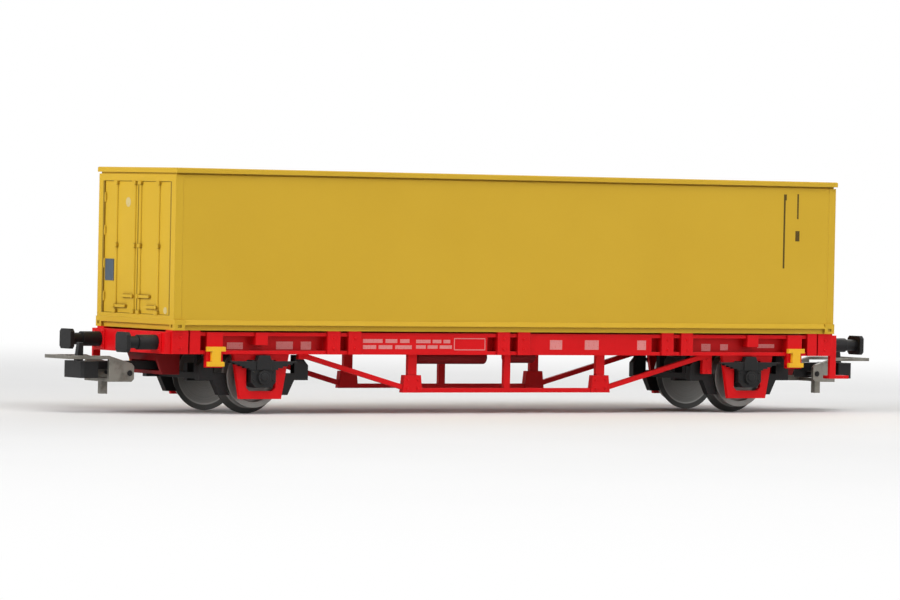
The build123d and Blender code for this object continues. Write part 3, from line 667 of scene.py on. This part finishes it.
class Bench:
    """Modelling moves that the fittings share, each on a cleared selection."""

    # Shares of a head's height that are upright and sloped, and of its radius that slope in.
    HEAD_UPRIGHT = 0.7
    HEAD_SLOPE = 0.3
    HEAD_INSET = 0.25
    DOME_SEGMENTS = 32
    DOME_RINGS = 16
    DOME_SMOOTH = math.radians(40.0)

    @staticmethod
    def clear() -> None:
        """Go to object mode with nothing selected."""
        if bpy.context.mode != "OBJECT":
            bpy.ops.object.mode_set(mode="OBJECT")
        bpy.ops.object.select_all(action="DESELECT")

    @staticmethod
    def _open(name: str) -> Piece:
        """Name the piece that was just added and select its mesh for editing.

        Args:
            name: The piece's name.

        Returns:
            The piece.
        """
        piece = bpy.context.active_object
        piece.name = name
        bpy.ops.object.mode_set(mode="EDIT")
        bpy.ops.mesh.select_all(action="SELECT")
        return piece

    @staticmethod
    def _close(piece: Piece, place: Matrix) -> Piece:
        """Turn the faces outward, stop editing and move the mesh to its place.

        Args:
            piece: The piece, modelled on the XY plane.
            place: Where it goes.

        Returns:
            The same piece.
        """
        bpy.ops.mesh.select_all(action="SELECT")
        bpy.ops.mesh.normals_make_consistent(inside=False)
        bpy.ops.object.mode_set(mode="OBJECT")
        piece.data.transform(place)
        return piece

    @classmethod
    def plate(cls, name: str, size: Point, rim: Rim = (0.0, 0.0), place: Matrix = Matrix()) -> Piece:
        """Model a thin plate, its middle sunk inside a rim.

        Args:
            name: The piece's name.
            size: Its width, height and thickness.
            rim: Its rim, with a width of 0 for none.
            place: Where it goes.

        Returns:
            The new piece.
        """
        width, height, thick = size
        cls.clear()
        bpy.ops.mesh.primitive_plane_add(size=1.0)
        piece = cls._open(name)
        bpy.ops.transform.resize(value=(width * MM, height * MM, 1.0), center_override=(0.0, 0.0, 0.0))
        bpy.ops.mesh.extrude_region_move(TRANSFORM_OT_translate={"value": (0.0, 0.0, thick * MM)})
        if rim[0]:
            bpy.ops.mesh.inset(thickness=rim[0] * MM, depth=-rim[1] * MM)
        return cls._close(piece, place)

    @classmethod
    def head(cls, name: str, size: Head, place: Matrix = Matrix()) -> Piece:
        """Model a bolt, rivet or pin head, its top edge sloped.

        Args:
            name: The piece's name.
            size: Its radius, height and number of sides.
            place: Where it goes.

        Returns:
            The new piece.
        """
        radius, height, sides = size
        cls.clear()
        bpy.ops.mesh.primitive_circle_add(vertices=sides, radius=radius * MM, fill_type="NGON")
        piece = cls._open(name)
        rise = cls.HEAD_UPRIGHT * height * MM
        bpy.ops.mesh.extrude_region_move(TRANSFORM_OT_translate={"value": (0.0, 0.0, rise)})
        bpy.ops.mesh.inset(thickness=cls.HEAD_INSET * radius * MM, depth=cls.HEAD_SLOPE * height * MM)
        return cls._close(piece, place)

    @classmethod
    def dome(cls, name: str, radius: float, height: float, place: Matrix) -> Piece:
        """Model a dished tank end.

        Args:
            name: The piece's name.
            radius: Half its width.
            height: How far it bulges.
            place: Where it goes.

        Returns:
            The new piece.
        """
        cls.clear()
        bpy.ops.mesh.primitive_uv_sphere_add(
            segments=cls.DOME_SEGMENTS, ring_count=cls.DOME_RINGS, radius=radius * MM
        )
        piece = cls._open(name)
        bpy.ops.mesh.bisect(
            plane_co=(0.0, 0.0, 0.0), plane_no=(0.0, 0.0, 1.0), use_fill=True, clear_inner=True
        )
        bpy.ops.mesh.select_all(action="SELECT")
        bpy.ops.transform.resize(value=(1.0, 1.0, height / radius), center_override=(0.0, 0.0, 0.0))
        cls._close(piece, place)
        bpy.ops.object.shade_smooth_by_angle(angle=cls.DOME_SMOOTH)
        return piece

    @classmethod
    def set_down(cls, pattern: Piece, places: Iterable[Matrix], name: str) -> Piece:
        """Copy a piece to several places and join the copies into one.

        Args:
            pattern: The piece to copy, which is used up.
            places: Where the copies go.
            name: The joined piece's name.

        Returns:
            The joined piece, with its place in its mesh.
        """
        copies: List[Piece] = []
        for place in places:
            copy = pattern.copy()
            copy.data = pattern.data.copy()
            copy.data.transform(place)
            bpy.context.scene.collection.objects.link(copy)
            copies.append(copy)
        bpy.data.objects.remove(pattern)
        return cls.join(copies, name)

    @classmethod
    def join(cls, pieces: Sequence[Piece], name: str) -> Piece:
        """Join pieces into one.

        Args:
            pieces: The pieces to join.
            name: The joined piece's name.

        Returns:
            The joined piece.
        """
        cls.clear()
        for piece in pieces:
            piece.select_set(True)
        bpy.context.view_layer.objects.active = pieces[0]
        if len(pieces) > 1:
            bpy.ops.object.join()
        whole = bpy.context.view_layer.objects.active
        whole.name = name
        whole.data.name = name
        return whole


def finish_piece(piece: Piece, material: Material, body: Body) -> None:
    """Dress a new piece and let it ride on a body.

    Args:
        piece: The piece.
        material: Its finish.
        body: The body that it moves with.
    """
    piece.data.materials.clear()
    piece.data.materials.append(material)
    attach(piece, body.value)
    LOG.info("made %s on %s", piece.name, body.value)


SIDE_FACES = {-1: Facing.LEFT, 1: Facing.RIGHT}
SIDE_WORDS = {-1: "left", 1: "right"}
END_FACES = {-1: Facing.FRONT, 1: Facing.REAR}


@dataclass
class Underframe:
    """The red frame with its bolts and blank printed panels."""

    finishes: Finishes
    lug_face: float = 13.35
    panel_face: float = 13.0
    web_face: float = 11.6
    lug_pitch: float = 35.4
    lug_step: float = 2.15
    end_lug: float = 68.5
    lug_rows: Tuple[float, float] = (11.55, 13.35)
    queen_at: float = 20.0
    foot_face: float = 11.5
    foot_step: float = 1.05
    foot_rows: Tuple[float, float] = (4.5, 6.05)
    stay_at: float = 43.5
    stay_face: float = 11.3
    stay_rows: Tuple[float, float] = (7.7, 9.6)
    bolt: Head = (0.24, 0.16, 6)
    print_thick: float = 0.03
    # Share of a row's height that its strips fill.
    bar_fill: float = 0.62
    bar_rim: Rim = (0.05, 0.01)
    plate_rim: Rim = (0.1, 0.01)
    line_width: float = 0.16
    line_rim: Rim = (0.03, 0.005)
    # Places along the left side of the blocks of bars.
    panel_bars: Tuple[Box, ...] = (
        (-31.4, -21.3, 11.3, 13.45),
        (-20.4, -12.9, 11.4, 13.35),
    )
    # For each row of a block: where its blank strips start and stop, as shares of the row.
    row_parts: Tuple[Tuple[Span, ...], ...] = (
        ((0.0, 0.27), (0.32, 0.6), (0.66, 1.0)),
        ((0.0, 0.4), (0.46, 0.7), (0.76, 0.95)),
    )
    # Places along the left side of the frame and the plates.
    panel_frame: Box = (-12.4, -5.95, 11.4, 13.4)
    panel_plates: Tuple[Box, ...] = (
        (7.9, 10.5, 11.5, 13.2),
        (15.4, 18.4, 11.5, 13.2),
        (26.8, 28.7, 11.5, 13.2),
    )
    web_plates: Tuple[Box, ...] = (
        (-58.2, -55.0, 11.35, 12.5),
        (-48.3, -44.9, 11.35, 12.7),
        (-43.3, -41.2, 11.3, 12.7),
        (41.9, 43.9, 11.3, 12.6),
        (46.1, 47.8, 11.45, 12.55),
        (54.4, 58.2, 11.9, 12.6),
    )

    def build(self) -> None:
        """Make every fitting of the frame."""
        self.bolts()
        for side, word in SIDE_WORDS.items():
            self.prints(side, word)

    def bolts(self) -> None:
        """Make the bolt heads on lugs, truss feet and stay plates."""
        places = []
        for side, face in SIDE_FACES.items():
            lugs = [pair + step for pair in (-self.lug_pitch, 0.0, self.lug_pitch)
                    for step in (-self.lug_step, self.lug_step)]
            lugs += [-self.end_lug, self.end_lug]
            places += [face.matrix((x, side * self.lug_face, z)) for x in lugs for z in self.lug_rows]
            for end in (-1, 1):
                places += [face.matrix((end * self.queen_at + dx, side * self.foot_face, z))
                           for dx in (-self.foot_step, self.foot_step) for z in self.foot_rows]
            places += [face.matrix((-side * self.stay_at, side * self.stay_face, z)) for z in self.stay_rows]
        piece = Bench.set_down(Bench.head("bolt", self.bolt), places, "frame_bolts")
        finish_piece(piece, self.finishes.frame, Body.FRAME)

    def prints(self, side: int, word: str) -> None:
        """Make the blank printed bars, frame and plates of one side.

        Args:
            side: -1 for the left side, 1 for the right.
            word: The side's name.
        """
        face = SIDE_FACES[side]
        pieces = []
        turn = -side
        for first, last, low, high in self.panel_bars:
            length = last - first
            pitch = (high - low) / len(self.row_parts)
            for row, parts in enumerate(self.row_parts):
                z = low + (row + 0.5) * pitch
                for start, stop in parts:
                    size = ((stop - start) * length, self.bar_fill * pitch, self.print_thick)
                    middle = first + (start + stop) / 2 * length
                    place = face.matrix((turn * middle, side * self.panel_face, z))
                    pieces.append(Bench.plate("bar", size, self.bar_rim, place))
        pieces += self.outline(face, turn, side * self.panel_face, self.panel_frame)
        for across, plates in ((self.panel_face, self.panel_plates), (self.web_face, self.web_plates)):
            for first, last, low, high in plates:
                size = (last - first, high - low, self.print_thick)
                place = face.matrix((turn * (first + last) / 2, side * across, (low + high) / 2))
                pieces.append(Bench.plate("plate", size, self.plate_rim, place))
        piece = Bench.join(pieces, f"blank_prints_{word}")
        finish_piece(piece, self.finishes.pale_print, Body.FRAME)

    def outline(self, face: Facing, turn: int, across: float, box: Box) -> List[Piece]:
        """Make the four bars of an empty printed frame.

        Args:
            face: The way the print looks.
            turn: 1 where places count along X, -1 where they count against it.
            across: Where the printed face is, across the wagon.
            box: First and last place, bottom and top.

        Returns:
            The four bars.
        """
        first, last, low, high = box
        middle_x, middle_z = (first + last) / 2, (low + high) / 2
        flat = (last - first, self.line_width, self.print_thick)
        upright = (self.line_width, high - low, self.print_thick)
        return [
            Bench.plate("line", size, self.line_rim, face.matrix((turn * x, across, z)))
            for x, z, size in ((middle_x, low, flat), (middle_x, high, flat),
                               (first, middle_z, upright), (last, middle_z, upright))
        ]


@dataclass
class RunningGear:
    """Axle boxes, buffers and tanks with their small fittings."""

    finishes: Finishes
    box_face: float = 13.3
    box_bolt: Head = (0.2, 0.14, 6)
    # Columns: place along the wagon and height, from the axle's middle.
    box_bolts: Tuple[Tuple[float, float], ...] = ((-2.05, 0.85), (2.05, 0.85), (-2.0, -0.55), (2.0, -0.55))
    cover_face: float = 13.75
    cover_cap: Head = (0.75, 0.16, 24)
    headstock_face: float = 71.3
    # Width, height and thickness.
    buffer_pad: Tuple[float, float, float] = (3.7, 3.4, 0.25)
    buffer_y: float = 10.05
    buffer_z: float = 12.45
    buffer_bolt: Head = (0.21, 0.16, 6)
    buffer_bolt_step: float = 1.3
    tank_y: float = -4.4
    tank_bulge: float = 0.45
    # Columns: both ends along the wagon, radius, height of the middle.
    tanks: Tuple[Tuple[float, float, float, float], ...] = (
        (-15.0, -0.8, 1.25, 9.85),
        (4.0, 9.6, 1.15, 9.95),
    )

    def build(self) -> None:
        """Make every fitting of the running gear."""
        self.box_fittings()
        self.buffer_bolts()
        self.tank_ends()

    def box_fittings(self) -> None:
        """Make the bolts and raised caps of the axle boxes."""
        bolts, caps = [], []
        for side, face in SIDE_FACES.items():
            for end in (-1, 1):
                x = end * AXLE_X
                bolts += [face.matrix((x + dx, side * self.box_face, AXLE_Z + dz))
                          for dx, dz in self.box_bolts]
                caps.append(face.matrix((x, side * self.cover_face, AXLE_Z)))
        bolts_piece = Bench.set_down(Bench.head("bolt", self.box_bolt), bolts, "axle_box_bolts")
        finish_piece(bolts_piece, self.finishes.black, Body.FRAME)
        caps_piece = Bench.set_down(Bench.head("cap", self.cover_cap), caps, "axle_box_caps")
        finish_piece(caps_piece, self.finishes.black, Body.FRAME)

    def buffer_bolts(self) -> None:
        """Make the thin pad behind each buffer and the four bolt heads on it."""
        thick = self.buffer_pad[2]
        steps = (-self.buffer_bolt_step, self.buffer_bolt_step)
        pads, bolts = [], []
        for end, face in END_FACES.items():
            for side in (-1, 1):
                y = side * self.buffer_y
                pads.append(face.matrix((end * self.headstock_face, y, self.buffer_z)))
                bolts += [face.matrix((end * (self.headstock_face + thick), y + dy, self.buffer_z + dz))
                          for dy in steps for dz in steps]
        pads_piece = Bench.set_down(Bench.plate("pad", self.buffer_pad), pads, "buffer_pads")
        finish_piece(pads_piece, self.finishes.frame, Body.FRAME)
        bolts_piece = Bench.set_down(Bench.head("bolt", self.buffer_bolt), bolts, "buffer_bolts")
        finish_piece(bolts_piece, self.finishes.frame, Body.FRAME)

    def tank_ends(self) -> None:
        """Make the dished ends of the two tanks."""
        pieces = [
            Bench.dome("dome", radius, self.tank_bulge, face.matrix((x, self.tank_y, z)))
            for first, last, radius, z in self.tanks
            for x, face in ((first, Facing.FRONT), (last, Facing.REAR))
        ]
        # The tank ends take the darker red of painted shade.
        piece = Bench.join(pieces, "tank_ends")
        finish_piece(piece, self.finishes.shaded_under, Body.FRAME)


@dataclass
class Couplers:
    """Heads on the cross pins of the two loop couplers."""

    finishes: Finishes
    pin_at: float = 73.3
    pin_z: float = 6.9
    pin_reach: float = 4.4
    pin_head: Head = (0.5, 0.12, 20)

    def build(self) -> None:
        """Make the pin heads of both couplers."""
        for end, body, word in ((-1, Body.COUPLER_FRONT, "front"), (1, Body.COUPLER_REAR, "rear")):
            places = [face.matrix((end * self.pin_at, side * self.pin_reach, self.pin_z))
                      for side, face in SIDE_FACES.items()]
            piece = Bench.set_down(Bench.head("pin", self.pin_head), places, f"loop_pin_heads_{word}")
            finish_piece(piece, self.finishes.black, body)


@dataclass
class Container:
    """The yellow container's door fittings, blank plate and printed lines."""

    finishes: Finishes
    door_face: float = -69.75
    leaf_low: float = 17.1
    leaf_high: float = 40.2
    leaf_edge: float = 12.15
    hinge_count: int = 4
    hinge_pin: Head = (0.2, 1.7, 12)
    hinge_pin_out: float = 0.12
    hinge_pin_in: float = 0.62
    middle_seal_width: float = 0.22
    # The edge seals are wide so that their dark colour paints a straight line of gap shade over the hinge
    # blocks.
    edge_seal_width: float = 0.4
    edge_seal_thick: float = 0.29
    cross_seal_width: float = 0.2
    seal_thick: float = 0.05
    seal_rim: Rim = (0.06, 0.02)
    bars: Tuple[float, float] = (0.98, 7.45)
    handles: Tuple[float, float] = (20.15, 18.35)
    hub: Head = (0.38, 0.16, 16)
    hub_out: float = 0.5
    # Places across the wagon.
    plate_box: Box = (8.3, 11.4, 22.7, 26.5)
    plate_thick: float = 0.1
    plate_rim: Rim = (0.22, 0.04)
    rivet: Head = (0.11, 0.07, 12)
    rivet_in: float = 0.2
    # Columns: place across the wagon, height, radius.
    stickers: Tuple[Tuple[float, float, float], ...] = ((3.57, 36.5, 0.85), (-10.1, 17.9, 0.6))
    sticker_thick: float = 0.04
    sticker_sides: int = 32
    wall_face: float = 13.62
    line_thick: float = 0.02
    line_rim: Rim = (0.04, 0.005)
    # Columns: place along the left side, width, bottom, top.
    side_lines: Tuple[Tuple[float, float, float, float], ...] = (
        (58.5, 0.38, 26.6, 39.1),
        (58.62, 0.62, 39.1, 40.2),
        (61.5, 0.34, 35.7, 40.3),
        (61.5, 0.92, 31.6, 33.5),
    )

    def build(self) -> None:
        """Make every fitting of the container."""
        self.hinge_pins()
        self.seals()
        self.hubs()
        self.data_plate()
        for side, word in SIDE_WORDS.items():
            self.lines(side, word)

    def hinge_pins(self) -> None:
        """Make the upright hinge pins along both outer door edges."""
        pitch = (self.leaf_high - self.leaf_low) / self.hinge_count
        x = self.door_face - self.hinge_pin_out
        y = self.leaf_edge - self.hinge_pin_in
        half = self.hinge_pin[1] / 2
        places = [
            Facing.TOP.matrix((x, side * y, self.leaf_low + (index + 0.5) * pitch - half))
            for side in (-1, 1) for index in range(self.hinge_count)
        ]
        piece = Bench.set_down(Bench.head("hinge_pin", self.hinge_pin), places, "door_hinge_pins")
        finish_piece(piece, self.finishes.container, Body.CONTAINER)

    def seals(self) -> None:
        """Make the seals around the two door leaves, in a dark colour that paints the shade of the door
        gaps.
        """
        middle_z = (self.leaf_low + self.leaf_high) / 2
        height = self.leaf_high - self.leaf_low
        edge_y = self.leaf_edge - self.edge_seal_width / 2
        # Each size: width, height, thickness.
        middle = (self.middle_seal_width, height, self.seal_thick)
        edge = (self.edge_seal_width, height, self.edge_seal_thick)
        cross = (2 * self.leaf_edge, self.cross_seal_width, self.seal_thick)
        pieces = [
            Bench.plate("seal", size, self.seal_rim, Facing.FRONT.matrix((self.door_face, y, z)))
            for y, z, size in ((0.0, middle_z, middle), (-edge_y, middle_z, edge), (edge_y, middle_z, edge),
                               (0.0, self.leaf_low, cross), (0.0, self.leaf_high, cross))
        ]
        piece = Bench.join(pieces, "door_seals")
        finish_piece(piece, self.finishes.seal_gap_shade, Body.CONTAINER)

    def hubs(self) -> None:
        """Make the hubs where the handles clamp the lock bars."""
        places = [
            Facing.FRONT.matrix((self.door_face - self.hub_out, side * bar, z))
            for side in (-1, 1) for bar, z in zip(self.bars, self.handles)
        ]
        piece = Bench.set_down(Bench.head("hub", self.hub), places, "handle_hubs")
        finish_piece(piece, self.finishes.container, Body.CONTAINER)

    def data_plate(self) -> None:
        """Make the blank riveted plate and the two blank round stickers on the doors."""
        first, last, low, high = self.plate_box
        size = (last - first, high - low, self.plate_thick)
        place = Facing.FRONT.matrix((self.door_face, (first + last) / 2, (low + high) / 2))
        plate = Bench.plate("blank_plate", size, self.plate_rim, place)
        finish_piece(plate, self.finishes.blue_plate, Body.CONTAINER)
        inset = self.rivet_in
        rivets = [Facing.FRONT.matrix((self.door_face - self.plate_thick, y, z))
                  for y in (first + inset, last - inset) for z in (low + inset, high - inset)]
        piece = Bench.set_down(Bench.head("rivet", self.rivet), rivets, "plate_rivets")
        finish_piece(piece, self.finishes.loop, Body.CONTAINER)
        discs = [
            Bench.head("sticker", (radius, self.sticker_thick, self.sticker_sides),
                       Facing.FRONT.matrix((self.door_face, y, z)))
            for y, z, radius in self.stickers
        ]
        stickers = Bench.join(discs, "round_stickers")
        finish_piece(stickers, self.finishes.sticker, Body.CONTAINER)

    def lines(self, side: int, word: str) -> None:
        """Make the thin printed lines near one end of a long wall.

        Args:
            side: -1 for the left side, 1 for the right.
            word: The side's name.
        """
        pieces = []
        for x, width, low, high in self.side_lines:
            size = (width, high - low, self.line_thick)
            place = SIDE_FACES[side].matrix((-side * x, side * self.wall_face, (low + high) / 2))
            pieces.append(Bench.plate("line", size, self.line_rim, place))
        piece = Bench.join(pieces, f"wall_lines_{word}")
        finish_piece(piece, self.finishes.dark_print, Body.CONTAINER)


@dataclass
class Studio:
    """Camera, floor and soft lights."""

    position: Point = (-0.564412, -0.882185, 0.037713)
    azimuth: float = -32.3681
    elevation: float = 0.9731
    roll: float = 1.1329
    focal_px: float = 5807.98
    image_width: float = 900.0
    sensor: float = 36.0
    clip: Span = (0.05, 60.0)
    # Columns: place in metres, width in metres, power in watts.
    lamps: Tuple[Tuple[Point, float, float], ...] = (
        ((-1.00, -0.13, 0.40), 0.55, 7.8),
        ((0.75, -1.00, 0.40), 0.70, 2.7),
        ((0.12, -0.40, 0.85), 0.60, 5.2),
        ((0.70, 0.60, 0.50), 0.60, 2.6),
    )
    aim: Point = (0.0, 0.0, 0.02)
    ambient: float = 0.18
    floor_size: float = 40.0
    floor_tones: Tuple[Colour, Colour] = ((0.80, 0.80, 0.80), (0.82, 0.82, 0.82))
    floor_specks: Speckle = (9.0, 2.0, 0.3, 0.7)
    floor_roughness: float = 0.9
    floor_specular: float = 0.1
    floor_fade: Span = (0.12, 0.45)

    def build(self) -> None:
        """Make the camera, floor, lamps and world."""
        self.camera()
        self.floor()
        self.light()
        self.world()
        bpy.context.scene.view_settings.view_transform = "Standard"

    def camera(self) -> None:
        """Place the camera at the picture's viewing angle."""
        a, e, r = (math.radians(turn) for turn in (self.azimuth, self.elevation, self.roll))
        back = Vector((math.sin(a) * math.cos(e), -math.cos(a) * math.cos(e), math.sin(e)))
        right = Vector((math.cos(a), math.sin(a), 0.0))
        up = back.cross(right)
        rolled_right = right * math.cos(r) + up * math.sin(r)
        rolled_up = up * math.cos(r) - right * math.sin(r)
        data = bpy.data.cameras.new("camera")
        data.sensor_width = self.sensor
        data.lens = self.focal_px * self.sensor / self.image_width
        data.clip_start, data.clip_end = self.clip
        camera = bpy.data.objects.new("camera", data)
        bpy.context.scene.collection.objects.link(camera)
        turn = Matrix((rolled_right, rolled_up, back)).transposed().to_4x4()
        camera.matrix_world = Matrix.Translation(self.position) @ turn
        bpy.context.scene.camera = camera

    def floor(self) -> None:
        """Lay the plain pale floor."""
        Bench.clear()
        bpy.ops.mesh.primitive_plane_add(size=self.floor_size, location=(0.0, 0.0, 0.0))
        floor = bpy.context.active_object
        floor.name = "floor"
        material, sheet, shader, place = start_material("pale_floor")
        tone = sheet.speckle(place, self.floor_specks)
        sheet.join(sheet.mix(tone, *self.floor_tones), shader.inputs["Base Color"])
        shader.inputs["Roughness"].default_value = self.floor_roughness
        shader.inputs["Specular IOR Level"].default_value = self.floor_specular
        away = sheet.add("ShaderNodeVectorMath", operation="LENGTH")
        sheet.join(place, away.inputs[0])
        path = sheet.add("ShaderNodeLightPath")
        far = sheet.ramp(away.outputs["Value"], *self.floor_fade)
        white = sheet.add("ShaderNodeEmission")
        blend = sheet.add("ShaderNodeMixShader")
        sheet.join(sheet.math("MULTIPLY", far, path.outputs["Is Camera Ray"]), blend.inputs[0])
        sheet.join(shader.outputs[0], blend.inputs[1])
        sheet.join(white.outputs[0], blend.inputs[2])
        sheet.join(blend.outputs[0], sheet.tree.nodes["Material Output"].inputs["Surface"])
        floor.data.materials.append(material)

    def light(self) -> None:
        """Hang the soft lamps."""
        for number, (place, width, power) in enumerate(self.lamps, 1):
            data = bpy.data.lights.new(f"lamp_{number}", "AREA")
            data.shape = "SQUARE"
            data.size = width
            data.energy = power
            lamp = bpy.data.objects.new(f"lamp_{number}", data)
            lamp.location = place
            aim = Vector(self.aim) - Vector(place)
            lamp.rotation_euler = aim.to_track_quat("-Z", "Y").to_euler()
            bpy.context.scene.collection.objects.link(lamp)

    def world(self) -> None:
        """Set a white background over an even, softer light."""
        world = bpy.data.worlds.new("studio")
        world.use_nodes = True
        bpy.context.scene.world = world
        sheet = NodeSheet(world.node_tree)
        path = sheet.add("ShaderNodeLightPath")
        seen = sheet.math("ADD", path.outputs["Is Camera Ray"], path.outputs["Is Glossy Ray"])
        seen = sheet.math("MINIMUM", sheet.math("ADD", seen, path.outputs["Is Transmission Ray"]), 1.0)
        strength = sheet.math("MULTIPLY_ADD", seen, 1.0 - self.ambient, self.ambient)
        background = sheet.tree.nodes["Background"]
        background.inputs["Color"].default_value = (1.0, 1.0, 1.0, 1.0)
        sheet.join(strength, background.inputs["Strength"])


def dress_solids(finishes: Finishes) -> None:
    """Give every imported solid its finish.

    Args:
        finishes: The wagon's materials.
    """
    for name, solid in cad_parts.items():
        material = finishes.for_node(name)
        if solid.material_slots:
            solid.material_slots[0].material = material
        else:
            solid.data.materials.append(material)
        LOG.info("dressed %s in %s", name, material.name)


def main() -> None:
    """Build the looks of the wagon and its studio."""
    logging.basicConfig(level=logging.INFO, format="%(message)s")
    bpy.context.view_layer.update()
    studio = Studio()
    studio.build()
    finishes = Finishes()
    dress_solids(finishes)
    for part in (Underframe(finishes), RunningGear(finishes), Couplers(finishes), Container(finishes)):
        part.build()
    Bench.clear()


if __name__ == "__main__":
    main()
